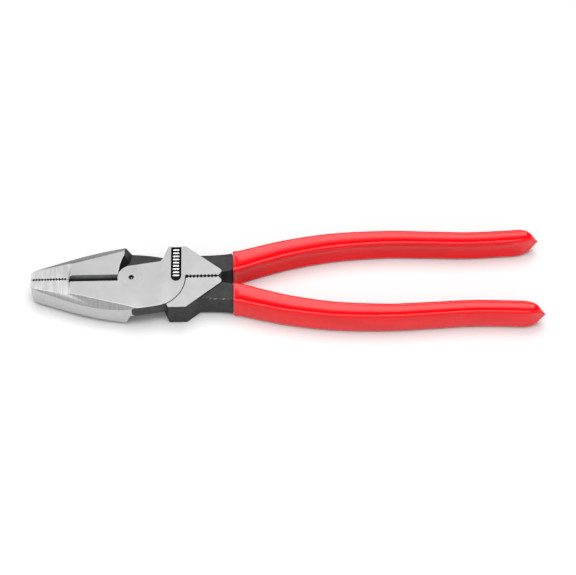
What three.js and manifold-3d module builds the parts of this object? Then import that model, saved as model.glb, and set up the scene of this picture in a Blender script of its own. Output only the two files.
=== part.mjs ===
// Lineman pliers with dipped grips, closed and lying on one side.
// Millimetres, +Z up. The origin is on the pivot axis at the underside of the head;
// -X runs to the jaw tips, +X to the handle ends, and the mouth closes on the plane y = 0.
//
// Two equal forged halves cross at the pivot. The upper half has its jaw at -Y, its lap plate in
// the top layer and its handle at +Y. Turned half a turn about the X axis through mid thickness it
// becomes the lower half, so every shape below is made once, for the upper half. Only the upper
// half carries the recessed panel.

import * as THREE from 'three';
import { mergeVertices } from 'three/addons/utils/BufferGeometryUtils.js';
import Module from 'manifold-3d';

// ---------------------------------------------------------------- driving dimensions

// Overall
const HEAD_THICKNESS = 14.4;
const JAW_REACH = 47; // pivot axis to the jaw tips
const HANDLE_REACH = 193; // pivot axis to the ends of the grips

// Gaps
const SLIDE_GAP = 0.3; // between any two faces that slide past or meet each other
const MOUTH_GAP = 0.3; // between the closed jaws

// Jaws
const JAW_HALF_WIDTH = 17;
const TIP_HALF_WIDTH = 3.3;
const TIP_ZONE_LENGTH = 18; // ground, toothed end of each jaw
const TIP_STEP = 0.6; // how far the ground end lies below the side face
const TIP_RELIEF = 1.0; // the same at the very tip
const TIP_RAMP = 1.6; // length of the ramp at the start of the ground end
const TOOTH_COUNT = 12;
const TOOTH_PITCH = 1.33;
const TOOTH_DEPTH = 0.55;
const TOOTH_START = 1.4; // first tooth from the tip
const EDGE_HALF_WIDTH = 1.7; // half of the slot over the cutting edges
const EDGE_BEVEL_HEIGHT = 2.2; // cutting bevel, above and below the edge
const FLANK_BEVEL_SLOPE = 34; // degrees, of the long bevel on each outer edge
const FLANK_BEVEL_TIP_Y = 2.8; // where that bevel starts across the tip
const JAW_REAR_X = -3.5; // rear corner of the jaw, on its outer face
const JAW_REAR_LEAN = 3; // how far that corner leans back by mid thickness
const JAW_LEAN_START = 0.01; // share of the lean on the outer face itself
const JAW_REAR_WRAP = 26; // degrees by which the jaw follows the lap plate round the pivot

// Lap joint
const LAP_FRONT_RADIUS = 6.4; // front of the lap plate, round the pivot
const LAP_NOTCH_X = 12.7; // where the side of the lap plate turns up into the wing
const LAP_NOTCH_Y = 8.4;
const LAP_NOTCH_SIZE = 2.2; // length of the blend in that inner corner
const LAP_ARC_X = 8.9; // centre of the round rear edge, behind the pivot
const LAP_ARC_RADIUS = 16.3;
const LAP_ARC_END = 62; // degrees below the X axis
const RIVET_RADIUS = 4.7;
const DIMPLE_RADIUS = 1.3;
const DIMPLE_DEPTH = 0.9;

// Wing, between the joint and the handle
const WING_HALF_WIDTH = 16.5;
const WING_FRONT_X = 17.3;
const WING_BACK_X = 25.5;
const WING_TIP_X = 42.2;
const WING_TIP_Y = 2.6;
const WING_TIP_RADIUS = 1.4;
const WING_TIP_SWEEP = 36; // degrees by which its rounding passes straight back
const PANEL_CENTRE_X = 20.9; // recessed dark panel
const PANEL_WIDTH = 4.8;
const PANEL_DEPTH = 0.5;
const PULL_GAP = 0.6; // toothed gap behind the joint
const PULL_TOOTH_COUNT = 8;
const PULL_TOOTH_PITCH = 1.68;
const PULL_TOOTH_RADIUS = 0.5;
const RELIEF_HOLE_RADIUS = 0.85;

// Handles
const TANG_START_X = 29;
const TANG_THICKNESS = 12.6;
const TANG_WIDTH = 10.6; // bare tang, next to the wing
const TANG_NECK_WIDTH = 9.4; // bare tang, at the grip
const TANG_CENTRE_Y = 6.6;
const TANG_EDGE_RADIUS = 0.8;
const GRIP_START_X = 47.5;
const GRIP_THICKNESS = 14;
const GRIP_FRONT_WIDTH = 11.2;
const GRIP_MIDDLE_WIDTH = 8.2;
const GRIP_END_WIDTH = 7.4;
const GRIP_TAPER = 0.6; // under 1, the front half narrows mostly near its front
const GRIP_WALL = 1.1;
const GRIP_EDGE_RADIUS = 1.8;
const GRIP_FRONT_Y = 8.3; // distance of the grip's centre line from the plane y = 0, at its front
const GRIP_SPREAD_Y = 20.25; // at its widest
const GRIP_WAIST_Y = 18.9; // at the waist near its end
const GRIP_END_Y = 20.15; // at its end
const NOSE_LENGTH = 9; // rounded end of a grip
const DRIP_LENGTH = 2.6; // pointed drip on that end
const DRIP_RADIUS = 1.7;
const DRIP_POINT_RADIUS = 0.3;
const NOSE_FULLNESS = 2.6; // 2 is an ellipse, more is blunter
const CORE_END_MARGIN = 6; // steel core to the start of the drip

// ---------------------------------------------------------------- worked-out dimensions

const MID = HEAD_THICKNESS / 2;
const TIP_X = -JAW_REACH;
const TIP_ZONE_X = TIP_X + TIP_ZONE_LENGTH;
const LAP_UNDERSIDE = MID + SLIDE_GAP / 2;
const CUT_CLEAR = 2; // how far a cutting shape runs past the surface it cuts
const ROOT_X = LAP_ARC_X + LAP_ARC_RADIUS; // rear end of the lap on the plane y = 0

const wasm = await Module();
wasm.setup();

// ---------------------------------------------------------------- solids

function toSolid(geometry) {
  const bare = geometry.clone();
  bare.deleteAttribute('normal');
  bare.deleteAttribute('uv');
  const merged = mergeVertices(bare, 1e-4);
  return new wasm.Manifold(new wasm.Mesh({
    numProp: 3,
    vertProperties: merged.attributes.position.array,
    triVerts: new Uint32Array(merged.index.array),
  }));
}

function toGeometry(solid) {
  const mesh = solid.getMesh();
  const geometry = new THREE.BufferGeometry();
  geometry.setAttribute('position', new THREE.BufferAttribute(mesh.vertProperties, 3));
  geometry.setIndex(new THREE.BufferAttribute(mesh.triVerts, 1));
  geometry.computeVertexNormals();
  return geometry;
}

function joined(solids) {
  return solids.reduce((whole, piece) => whole.add(piece));
}

function without(solid, cutters) {
  return cutters.reduce((rest, cutter) => rest.subtract(cutter), solid);
}

// A flat outline in the XY plane, standing from one height to another.
function plate(shape, bottom, top) {
  const geometry = new THREE.ExtrudeGeometry(shape, {
    depth: top - bottom,
    bevelEnabled: false,
    curveSegments: 24,
  });
  return toSolid(geometry.translate(0, 0, bottom));
}

function polygon(points) {
  return new THREE.Shape(points.map(([x, y]) => new THREE.Vector2(x, y)));
}

// The same outline on the other side of the plane y = 0.
function mirrored(shape) {
  const points = shape.getPoints(24).map((p) => new THREE.Vector2(p.x, -p.y));
  return new THREE.Shape(points.reverse());
}

// A prism whose outline lies in the XZ plane and which runs along Y.
function prismAcross(outline, fromY, toY) {
  const geometry = new THREE.ExtrudeGeometry(polygon(outline), {
    depth: toY - fromY,
    bevelEnabled: false,
  });
  return toSolid(geometry.rotateX(Math.PI / 2).translate(0, toY, 0));
}

// A prism whose outline lies in the YZ plane, centred on X and running along it. It can be turned
// about the Z axis and put in place.
function prismAlong(outline, length, turn = 0, place = new THREE.Vector3()) {
  const geometry = new THREE.ExtrudeGeometry(polygon(outline), {
    depth: length,
    bevelEnabled: false,
  });
  geometry.translate(0, 0, -length / 2);
  geometry.applyMatrix4(new THREE.Matrix4().makeBasis(
    new THREE.Vector3(0, 1, 0), new THREE.Vector3(0, 0, 1), new THREE.Vector3(1, 0, 0)));
  geometry.rotateZ(turn);
  return toSolid(geometry.translate(place.x, place.y, place.z));
}

// The part of a solid between two planes square to the X axis.
function trimmed(solid, fromX, toX) {
  const reach = 200;
  const box = new THREE.BoxGeometry(toX - fromX, reach, reach);
  return solid.intersect(toSolid(box.translate((fromX + toX) / 2, 0, 0)));
}

function uprightCylinder(radius, x, y, bottom, top, segments = 24) {
  const geometry = new THREE.CylinderGeometry(radius, radius, top - bottom, segments);
  geometry.rotateX(Math.PI / 2);
  return toSolid(geometry.translate(x, y, (top + bottom) / 2));
}

// A closed skin over a row of rings that all have the same number of points.
function loft(rings) {
  const size = rings[0].length;
  const middle = (ring) => ring.reduce((sum, p) => sum.add(p), new THREE.Vector3())
    .divideScalar(size);
  const points = [...rings.flat(), middle(rings[0]), middle(rings.at(-1))];
  const front = points.length - 2;
  const back = points.length - 1;
  const last = (rings.length - 1) * size;
  const index = [];
  for (let k = 0; k < size; k += 1) {
    const next = (k + 1) % size;
    for (let row = 0; row < last; row += size) {
      index.push(row + k, row + next, row + size + next);
      index.push(row + k, row + size + next, row + size + k);
    }
    index.push(front, next, k);
    index.push(back, last + k, last + next);
  }
  const geometry = new THREE.BufferGeometry().setFromPoints(points);
  geometry.setIndex(index);
  return toSolid(geometry);
}

// ---------------------------------------------------------------- outlines of the head

// Outer flank of the jaw, from the tip to past the rear corner.
function flankPoints() {
  const x = (share) => TIP_X + share * (JAW_REAR_X - TIP_X);
  const y = (share) => -(TIP_HALF_WIDTH + share * (JAW_HALF_WIDTH - TIP_HALF_WIDTH));
  return new THREE.SplineCurve([
    new THREE.Vector2(x(0), y(0)),
    new THREE.Vector2(x(0.06), y(0.15)),
    new THREE.Vector2(x(0.25), y(0.39)),
    new THREE.Vector2(x(0.41), y(0.575)),
    new THREE.Vector2(x(0.57), y(0.74)),
    new THREE.Vector2(x(0.78), y(0.9)),
    new THREE.Vector2(x(1), y(1)),
  ]).getPoints(24);
}

// Rear edge of the jaw on its outer face: round the lap plate of the other half, then back to the
// rear corner.
function jawRearPoints() {
  const radius = LAP_FRONT_RADIUS + SLIDE_GAP;
  const around = stations(1.5, JAW_REAR_WRAP, 6).map((turn) => {
    const angle = Math.PI + THREE.MathUtils.degToRad(turn);
    return new THREE.Vector2(radius * Math.cos(angle), radius * Math.sin(angle));
  });
  const start = around.at(-1);
  const outwards = new THREE.QuadraticBezierCurve(
    start,
    new THREE.Vector2(start.x + 0.4, (start.y - JAW_HALF_WIDTH) / 2.3),
    new THREE.Vector2(JAW_REAR_X, -JAW_HALF_WIDTH * 0.74));
  return [...around, ...outwards.getPoints(10).slice(1)];
}

function jawShape() {
  return new THREE.Shape([
    new THREE.Vector2(TIP_X, -MOUTH_GAP / 2),
    ...jawRearPoints(),
    ...flankPoints().reverse(),
  ]);
}

// From where it leaves the lap plate, the rear face leans back towards mid thickness, more and
// more towards the outer edge.
function jawShoulder() {
  const rear = jawRearPoints();
  const wrap = THREE.MathUtils.degToRad(JAW_REAR_WRAP);
  const bendY = -(LAP_FRONT_RADIUS + SLIDE_GAP) * Math.sin(wrap);
  const leanAt = (y) => JAW_REAR_LEAN * Math.max(0, (bendY - y) / (JAW_HALF_WIDTH + bendY));
  const ring = (z, share) => [
    ...rear.map((p) => new THREE.Vector3(p.x + share * leanAt(p.y), p.y, z)),
    new THREE.Vector3(JAW_REAR_X + share * JAW_REAR_LEAN, -JAW_HALF_WIDTH, z),
    new THREE.Vector3(JAW_REAR_X, -JAW_HALF_WIDTH, z),
    new THREE.Vector3(-2 * LAP_FRONT_RADIUS, -JAW_HALF_WIDTH * 0.75, z),
    new THREE.Vector3(-2 * LAP_FRONT_RADIUS, rear.at(0).y, z),
  ].reverse();
  return loft([ring(0, JAW_LEAN_START), ring(LAP_UNDERSIDE, 1)]);
}

// The lap plate together with the wing: everything of one half that lies in its own layer.
// grow moves the edges that meet the other half outwards.
function lapShape(grow = 0) {
  const frontRadius = LAP_FRONT_RADIUS + grow;
  const notchY = LAP_NOTCH_Y + grow;
  const frontEnd = Math.atan2(notchY, LAP_NOTCH_X)
    + Math.acos(frontRadius / Math.hypot(LAP_NOTCH_X, notchY));
  const frontStart = Math.PI + Math.asin(EDGE_HALF_WIDTH / frontRadius);
  const arcRadius = LAP_ARC_RADIUS + grow;
  const arcStart = Math.asin(PULL_GAP / 2 / arcRadius);
  const arcEnd = -THREE.MathUtils.degToRad(LAP_ARC_END);
  const sideX = LAP_ARC_X + arcRadius * Math.cos(arcEnd);
  const sideY = arcRadius * Math.sin(arcEnd);
  const jawInsideX = -2 * LAP_FRONT_RADIUS;

  const shape = new THREE.Shape();
  shape.moveTo(jawInsideX, -EDGE_HALF_WIDTH);
  shape.lineTo(frontRadius * Math.cos(frontStart), -EDGE_HALF_WIDTH);
  shape.absarc(0, 0, frontRadius, frontStart, frontEnd, true);
  shape.lineTo(LAP_NOTCH_X, notchY);
  shape.quadraticCurveTo(LAP_NOTCH_X + LAP_NOTCH_SIZE / 2, notchY,
    LAP_NOTCH_X + LAP_NOTCH_SIZE, notchY + LAP_NOTCH_SIZE);
  shape.lineTo(WING_FRONT_X, WING_HALF_WIDTH);
  shape.lineTo(WING_BACK_X, WING_HALF_WIDTH);
  wingTipPoints().forEach((p) => shape.lineTo(p.x, p.y));
  shape.absarc(LAP_ARC_X, 0, arcRadius, arcStart, arcEnd, true);
  shape.quadraticCurveTo((sideX + JAW_REAR_X) / 2, -JAW_HALF_WIDTH, JAW_REAR_X, -JAW_HALF_WIDTH);
  shape.lineTo(jawInsideX, -JAW_HALF_WIDTH / 2);
  return shape;
}

// The blunt point of the wing, from its slanted outer edge round to the toothed gap.
function wingTipPoints() {
  const centre = new THREE.Vector2(WING_TIP_X - WING_TIP_RADIUS, WING_TIP_Y);
  const slant = Math.atan2(WING_TIP_X - WING_BACK_X, WING_HALF_WIDTH - WING_TIP_Y);
  const sweep = THREE.MathUtils.degToRad(WING_TIP_SWEEP);
  const points = [];
  for (let step = 0; step <= 6; step += 1) {
    const angle = THREE.MathUtils.lerp(Math.PI / 2 - slant / 2, -sweep, step / 6);
    points.push(new THREE.Vector2(
      centre.x + WING_TIP_RADIUS * Math.cos(angle),
      centre.y + WING_TIP_RADIUS * Math.sin(angle)));
  }
  points.push(new THREE.Vector2(WING_TIP_X - WING_TIP_RADIUS, PULL_GAP / 2));
  points.push(new THREE.Vector2(ROOT_X + RELIEF_HOLE_RADIUS, PULL_GAP / 2));
  return points;
}

function wingShape() {
  return polygon([
    [WING_FRONT_X, WING_HALF_WIDTH],
    [WING_BACK_X, WING_HALF_WIDTH],
    ...wingTipPoints().map((p) => [p.x, p.y]),
    [LAP_ARC_X + LAP_ARC_RADIUS / 2, PULL_GAP / 2],
    [LAP_NOTCH_X + LAP_NOTCH_SIZE, LAP_NOTCH_Y + LAP_NOTCH_SIZE],
  ]);
}

// ---------------------------------------------------------------- handle

// A place along the grip, as a share of the way from its front to its end.
function gripX(share) {
  return THREE.MathUtils.lerp(GRIP_START_X, HANDLE_REACH, share);
}

// Part of the way out from the grip's front to where the handles are widest apart.
function spreadY(share) {
  return THREE.MathUtils.lerp(GRIP_FRONT_Y, GRIP_SPREAD_Y, share);
}

const centreLine = new THREE.SplineCurve([
  [TANG_START_X - CUT_CLEAR, TANG_CENTRE_Y],
  [(TANG_START_X + GRIP_START_X) / 2, (3 * TANG_CENTRE_Y + GRIP_FRONT_Y) / 4],
  [GRIP_START_X, GRIP_FRONT_Y],
  [gripX(0.09), spreadY(0.32)],
  [gripX(0.19), spreadY(0.63)],
  [gripX(0.33), spreadY(0.9)],
  [gripX(0.5), GRIP_SPREAD_Y],
  [gripX(0.64), (GRIP_SPREAD_Y + GRIP_WAIST_Y) / 2],
  [gripX(0.77), GRIP_WAIST_Y],
  [gripX(0.9), (GRIP_WAIST_Y + GRIP_END_Y) / 2],
  [HANDLE_REACH, GRIP_END_Y],
  [HANDLE_REACH + CUT_CLEAR, GRIP_END_Y],
].map(([x, y]) => new THREE.Vector2(x, y)));

const centreLinePoints = centreLine.getPoints(400);

function centreAt(x) {
  const i = Math.max(1, centreLinePoints.findIndex((p) => p.x > x));
  const [a, b] = [centreLinePoints[i - 1], centreLinePoints[i]];
  const y = THREE.MathUtils.mapLinear(x, a.x, b.x, a.y, b.y);
  return { y, angle: Math.atan2(b.y - a.y, b.x - a.x) };
}

function gripWidthAt(x) {
  const share = Math.max(0, (x - GRIP_START_X) / (HANDLE_REACH - GRIP_START_X));
  return share < 0.5
    ? THREE.MathUtils.lerp(GRIP_FRONT_WIDTH, GRIP_MIDDLE_WIDTH, (share / 0.5) ** GRIP_TAPER)
    : THREE.MathUtils.lerp(GRIP_MIDDLE_WIDTH, GRIP_END_WIDTH, (share - 0.5) / 0.5);
}

// A rounded rectangle square to the centre line.
function handleRing(x, width, thickness, edgeRadius) {
  const { y, angle } = centreAt(x);
  const across = new THREE.Vector3(-Math.sin(angle), Math.cos(angle), 0);
  const radius = Math.min(edgeRadius, 0.42 * width, 0.42 * thickness);
  const ring = [];
  for (const [sideY, sideZ, start] of [[1, 1, 0], [-1, 1, 1], [-1, -1, 2], [1, -1, 3]]) {
    for (let step = 0; step <= 3; step += 1) {
      const turn = (start + step / 3) * Math.PI / 2;
      const offset = sideY * (width / 2 - radius) + radius * Math.cos(turn);
      const height = sideZ * (thickness / 2 - radius) + radius * Math.sin(turn);
      ring.push(new THREE.Vector3(x, y, MID + height).addScaledVector(across, offset));
    }
  }
  return ring;
}

function stations(from, to, count) {
  return Array.from({ length: count + 1 }, (_, k) => THREE.MathUtils.lerp(from, to, k / count));
}

const DRIP_START_X = HANDLE_REACH - DRIP_LENGTH;
const NOSE_START_X = DRIP_START_X - NOSE_LENGTH;
const CORE_END_X = DRIP_START_X - CORE_END_MARGIN;

// Outer skin of a grip: a long body, a rounded nose, and the pointed drip left by dipping.
function gripSkin() {
  const body = stations(GRIP_START_X - GRIP_FRONT_WIDTH / 4, NOSE_START_X, 24)
    .map((x) => handleRing(x, gripWidthAt(x), GRIP_THICKNESS, GRIP_EDGE_RADIUS));
  const nose = stations(0, 1, 6).slice(1).map((share) => {
    const x = THREE.MathUtils.lerp(NOSE_START_X, DRIP_START_X, share);
    const narrowing = Math.sqrt(1 - share ** NOSE_FULLNESS);
    const width = THREE.MathUtils.lerp(2 * DRIP_RADIUS, gripWidthAt(x), narrowing);
    const thickness = THREE.MathUtils.lerp(2 * DRIP_RADIUS, GRIP_THICKNESS, narrowing);
    return handleRing(x, width, thickness, GRIP_EDGE_RADIUS + 2 * share);
  });
  const drip = handleRing(HANDLE_REACH, 2 * DRIP_POINT_RADIUS, 2 * DRIP_POINT_RADIUS,
    DRIP_POINT_RADIUS);
  return trimmed(loft([...body, ...nose, drip]), GRIP_START_X, HANDLE_REACH + CUT_CLEAR);
}

// The steel inside a grip, or, grown by a gap, the pocket that it sits in.
function core(fromX, toX, grow) {
  const wall = GRIP_WALL + SLIDE_GAP - grow;
  return loft(stations(fromX, toX, 20).map((x) => handleRing(
    x, gripWidthAt(x) - 2 * wall, GRIP_THICKNESS - 2 * wall, GRIP_EDGE_RADIUS / 2)));
}

// The bare steel between the wing and the grip.
function bareTang() {
  const endX = GRIP_START_X - SLIDE_GAP;
  const tang = loft(stations(TANG_START_X, endX + GRIP_FRONT_WIDTH / 4, 8).map((x) => {
    const share = (x - TANG_START_X) / (endX - TANG_START_X);
    const width = THREE.MathUtils.lerp(TANG_WIDTH, TANG_NECK_WIDTH, share ** 2);
    return handleRing(x, width, TANG_THICKNESS, TANG_EDGE_RADIUS);
  }));
  return trimmed(tang, 0, endX);
}

// ---------------------------------------------------------------- cuts in the head

function tipReliefs() {
  const top = HEAD_THICKNESS + CUT_CLEAR;
  const profile = [
    [TIP_ZONE_X + TIP_RAMP / 2, HEAD_THICKNESS],
    [TIP_ZONE_X - TIP_RAMP / 2, HEAD_THICKNESS - TIP_STEP],
    [TIP_X - CUT_CLEAR, HEAD_THICKNESS - TIP_RELIEF],
    [TIP_X - CUT_CLEAR, top],
    [TIP_ZONE_X + TIP_RAMP / 2, top],
  ];
  const flipped = profile.map(([x, z]) => [x, HEAD_THICKNESS - z]).reverse();
  const reach = JAW_HALF_WIDTH + CUT_CLEAR;
  return [profile, flipped].map((outline) => prismAcross(outline, -reach, 0));
}

// Long bevels on the jaw's outer edges, one above and one below.
function flankBevels() {
  const endX = -JAW_REAR_X;
  const run = endX - TIP_X;
  const fall = JAW_HALF_WIDTH - FLANK_BEVEL_TIP_Y - 0.3;
  const turn = -Math.atan2(fall, run);
  const place = new THREE.Vector3((endX + TIP_X) / 2, -FLANK_BEVEL_TIP_Y - fall / 2, 0);
  const reach = JAW_HALF_WIDTH;
  const drop = reach * Math.tan(THREE.MathUtils.degToRad(FLANK_BEVEL_SLOPE));
  const above = [[0, HEAD_THICKNESS], [0, HEAD_THICKNESS + CUT_CLEAR],
    [-reach, HEAD_THICKNESS + CUT_CLEAR], [-reach, HEAD_THICKNESS - drop]];
  const below = above.map(([y, z]) => [y, HEAD_THICKNESS - z]).reverse();
  return [above, below].map((outline) => prismAlong(outline, run * 1.25, turn, place));
}

// The slot over the cutting edges, with the bevels that bring them to an edge at mid thickness.
function edgeSlot() {
  const edgeY = -MOUTH_GAP / 2;
  const outline = [
    [CUT_CLEAR, -CUT_CLEAR],
    [CUT_CLEAR, HEAD_THICKNESS + CUT_CLEAR],
    [-EDGE_HALF_WIDTH, HEAD_THICKNESS + CUT_CLEAR],
    [-EDGE_HALF_WIDTH, MID + EDGE_BEVEL_HEIGHT],
    [edgeY, MID],
    [-EDGE_HALF_WIDTH, MID - EDGE_BEVEL_HEIGHT],
    [-EDGE_HALF_WIDTH, -CUT_CLEAR],
  ];
  const length = -LAP_FRONT_RADIUS - TIP_ZONE_X;
  return prismAlong(outline, length, 0, new THREE.Vector3(TIP_ZONE_X + length / 2, 0, 0));
}

function mouthTeeth() {
  const cutters = [];
  for (let k = 0; k < TOOTH_COUNT; k += 1) {
    const x = TIP_X + TOOTH_START + k * TOOTH_PITCH;
    const y = -MOUTH_GAP / 2;
    const half = TOOTH_PITCH * 0.4;
    cutters.push(plate(polygon([[x, y - TOOTH_DEPTH], [x + half, y + 0.1], [x - half, y + 0.1]]),
      -CUT_CLEAR, HEAD_THICKNESS + CUT_CLEAR));
  }
  return cutters;
}

function pullTeeth() {
  const firstX = ROOT_X + RELIEF_HOLE_RADIUS + PULL_TOOTH_PITCH;
  return Array.from({ length: PULL_TOOTH_COUNT }, (_, k) => uprightCylinder(
    PULL_TOOTH_RADIUS, firstX + k * PULL_TOOTH_PITCH, PULL_GAP / 2, -CUT_CLEAR,
    HEAD_THICKNESS + CUT_CLEAR, 12));
}

// The recess runs in from the wing's outer edge and ends round beside the joint.
function panelRecess() {
  const radius = PANEL_WIDTH / 2;
  const shape = new THREE.Shape();
  shape.moveTo(PANEL_CENTRE_X - radius, WING_HALF_WIDTH + CUT_CLEAR);
  shape.lineTo(PANEL_CENTRE_X - radius, 0);
  shape.absarc(PANEL_CENTRE_X, 0, radius, Math.PI, 2 * Math.PI, false);
  shape.lineTo(PANEL_CENTRE_X + radius, WING_HALF_WIDTH + CUT_CLEAR);
  return plate(shape, HEAD_THICKNESS - PANEL_DEPTH, HEAD_THICKNESS + CUT_CLEAR);
}

// ---------------------------------------------------------------- pieces

// hasPanel is true for the half whose wing carries the recessed panel.
function forgedHalf(hasPanel) {
  const otherLap = plate(mirrored(lapShape(SLIDE_GAP)), -CUT_CLEAR, LAP_UNDERSIDE);
  const body = joined([
    plate(jawShape(), 0, HEAD_THICKNESS),
    jawShoulder(),
    plate(lapShape(), LAP_UNDERSIDE, HEAD_THICKNESS),
    plate(wingShape(), 0, HEAD_THICKNESS).subtract(otherLap),
    bareTang(),
    core(GRIP_START_X - GRIP_FRONT_WIDTH / 4, CORE_END_X, 0),
  ]);
  return toGeometry(without(body, [
    ...tipReliefs(),
    ...flankBevels(),
    edgeSlot(),
    ...mouthTeeth(),
    ...pullTeeth(),
    ...(hasPanel ? [panelRecess()] : []),
    uprightCylinder(RIVET_RADIUS + SLIDE_GAP, 0, 0, -CUT_CLEAR, HEAD_THICKNESS + CUT_CLEAR, 48),
    uprightCylinder(RELIEF_HOLE_RADIUS, ROOT_X + RELIEF_HOLE_RADIUS, 0, -CUT_CLEAR,
      HEAD_THICKNESS + CUT_CLEAR),
  ]));
}

function grip() {
  const pocket = core(GRIP_START_X - GRIP_FRONT_WIDTH / 4, CORE_END_X + SLIDE_GAP, SLIDE_GAP);
  return toGeometry(gripSkin().subtract(pocket));
}

// Flush on both sides, with a punched dimple in the upper head.
function rivet() {
  const profile = [
    [0, 0],
    [RIVET_RADIUS, 0],
    [RIVET_RADIUS, HEAD_THICKNESS],
    [DIMPLE_RADIUS, HEAD_THICKNESS],
    [DIMPLE_RADIUS * 0.6, HEAD_THICKNESS - DIMPLE_DEPTH],
    [0, HEAD_THICKNESS - DIMPLE_DEPTH],
  ].map(([x, y]) => new THREE.Vector2(x, y));
  return new THREE.LatheGeometry(profile, 48).rotateX(Math.PI / 2);
}

// ---------------------------------------------------------------- assembly

const groundSteel = { color: 0xc9c9c9, roughness: 0.35, metalness: 0.9 };
const rivetSteel = { color: 0xbdbdbd, roughness: 0.4, metalness: 0.9 };
const redPlastic = { color: 0xe03434, roughness: 0.3, metalness: 0 };

function named(name, geometry, finish) {
  const mesh = new THREE.Mesh(geometry, new THREE.MeshStandardMaterial(finish));
  mesh.name = name;
  return mesh;
}

const pliers = new THREE.Group();
const upper = new THREE.Group();
const lower = new THREE.Group();

const gripGeometry = grip();

upper.add(named('upper_half', forgedHalf(true), groundSteel));
upper.add(named('upper_grip', gripGeometry, redPlastic));
lower.add(named('lower_half', forgedHalf(false), groundSteel));
lower.add(named('lower_grip', gripGeometry, redPlastic));

// Half a turn about the X axis at mid thickness.
lower.rotation.x = Math.PI;
lower.position.z = HEAD_THICKNESS;

pliers.add(upper, lower, named('pivot_rivet', rivet(), rivetSteel));

export default pliers;
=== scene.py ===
# %% [markdown]
# # Lineman pliers
# Two drop-forged steel halves turn on one flush rivet, and each handle is dipped in red plastic. The
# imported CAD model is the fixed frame: it says where every piece is and how the halves turn. Each piece
# made here stands for one CAD piece, or sits on one, with the finish that the CAD doesn't have.
# Lengths in the cells are in millimetres, as a toolmaker writes them, and `MM` turns them into metres.
# Two small helpers come first, because almost every piece ends with a new mesh and a new object.

# %% Load the frame
import math

import bmesh
import bpy
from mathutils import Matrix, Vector


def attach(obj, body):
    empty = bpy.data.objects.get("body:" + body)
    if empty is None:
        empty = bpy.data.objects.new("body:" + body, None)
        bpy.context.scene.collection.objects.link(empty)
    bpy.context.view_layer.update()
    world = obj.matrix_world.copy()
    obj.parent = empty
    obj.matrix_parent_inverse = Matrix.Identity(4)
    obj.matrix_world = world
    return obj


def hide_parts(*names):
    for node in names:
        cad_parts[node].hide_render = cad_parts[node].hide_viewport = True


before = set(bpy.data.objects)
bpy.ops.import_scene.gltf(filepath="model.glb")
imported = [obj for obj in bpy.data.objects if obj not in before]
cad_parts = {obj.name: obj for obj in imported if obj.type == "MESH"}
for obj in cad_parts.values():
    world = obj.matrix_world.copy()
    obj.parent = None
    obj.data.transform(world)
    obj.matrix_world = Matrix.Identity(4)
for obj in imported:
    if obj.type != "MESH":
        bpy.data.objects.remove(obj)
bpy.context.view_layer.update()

MM = 0.001
print("CAD pieces:", sorted(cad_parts))


# %% Put things in the scene
def in_scene(name, data):
    """A new object with that data, linked to the scene."""
    made = bpy.data.objects.new(name, data)
    bpy.context.scene.collection.objects.link(made)
    return made


def mesh_from(work, name):
    """The finished bmesh as a mesh. The bmesh is freed."""
    mesh = bpy.data.meshes.new(name)
    work.to_mesh(mesh)
    work.free()
    return mesh


print("collection for every piece:", bpy.context.scene.collection.name)

# %% [markdown]
# ## Camera
# The camera comes first, so that every later piece can be looked at. It stands in front of the tool and
# well above it, about 59 degrees over the table, with a long lens: parallel edges stay nearly parallel.
# Its place was found once, by fitting known corners of the tool, and is written here as plain numbers.

# %% Camera
camera = in_scene("camera", bpy.data.cameras.new("camera"))
bpy.context.scene.camera = camera
camera.location = (0.06357, -0.44510, 0.74190)
aim = Vector((0.07337, 0.00144, 0.0))
camera.rotation_mode = "QUATERNION"
camera.rotation_quaternion = (aim - camera.location).to_track_quat("-Z", "Y")
camera.data.sensor_width = 36
camera.data.lens = 113.88
camera.data.clip_start = 0.01
camera.data.clip_end = 20
print("camera distance, m:", round((aim - camera.location).length, 3))

# %% [markdown]
# ## Sizes shared by the pieces
# These repeat the few CAD sizes that the looks depend on. The lower half is the upper half turned over
# about the long axis, at mid thickness, so one rule can serve both: a point of the lower half is turned
# over first, and then looked up as if it were on the upper half.

# %% Shared sizes
THICKNESS = 14.4
MID = THICKNESS / 2
TIP_ZONE_X = -29.0
GRIP_START_X = 47.5
HANDLE_REACH = 193.0
PANEL_DEPTH = 0.5


def turned_over(v, about=MID):
    """A point or direction of the lower half, as it is on the upper half."""
    return Vector((v[0], -v[1], 2 * about - v[2]))


def side_of(name):
    """+1 for the pieces of the upper arm, -1 for those of the lower arm."""
    return 1 if name.startswith("upper") else -1


print("overall thickness, mm:", THICKNESS)

# %% [markdown]
# ## Helpers for node trees
# Shader trees and Geometry Nodes trees are both lists of nodes and links. A short helper adds a node,
# sets its options and connects its inputs in one call, so that a tree reads like a recipe. An input can
# be given a socket of another node, or a plain value.


# %% Node helpers
def add_node(tree, kind, inputs=None, **options):
    """A node of that kind. inputs is {name or number: socket or value}."""
    node = tree.nodes.new(kind)
    for option, value in options.items():
        setattr(node, option, value)
    for key, value in (inputs or {}).items():
        socket = node.inputs[key]
        if isinstance(value, bpy.types.NodeSocket):
            tree.links.new(value, socket)
        else:
            socket.default_value = value
    return node


def math_node(tree, operation, a, b=0.0):
    """The result of one sum on two numbers or sockets."""
    return add_node(tree, "ShaderNodeMath", {0: a, 1: b}, operation=operation).outputs[0]


def vector_node(tree, operation, a, b):
    """The result of one sum on two vectors or sockets."""
    return add_node(tree, "ShaderNodeVectorMath", {0: a, 1: b}, operation=operation).outputs[0]


def place_in_mm(tree, place):
    """X, Y and Z of a place, in mm."""
    apart = add_node(tree, "ShaderNodeSeparateXYZ", {0: place})
    return [math_node(tree, "DIVIDE", part, MM) for part in apart.outputs]


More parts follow.
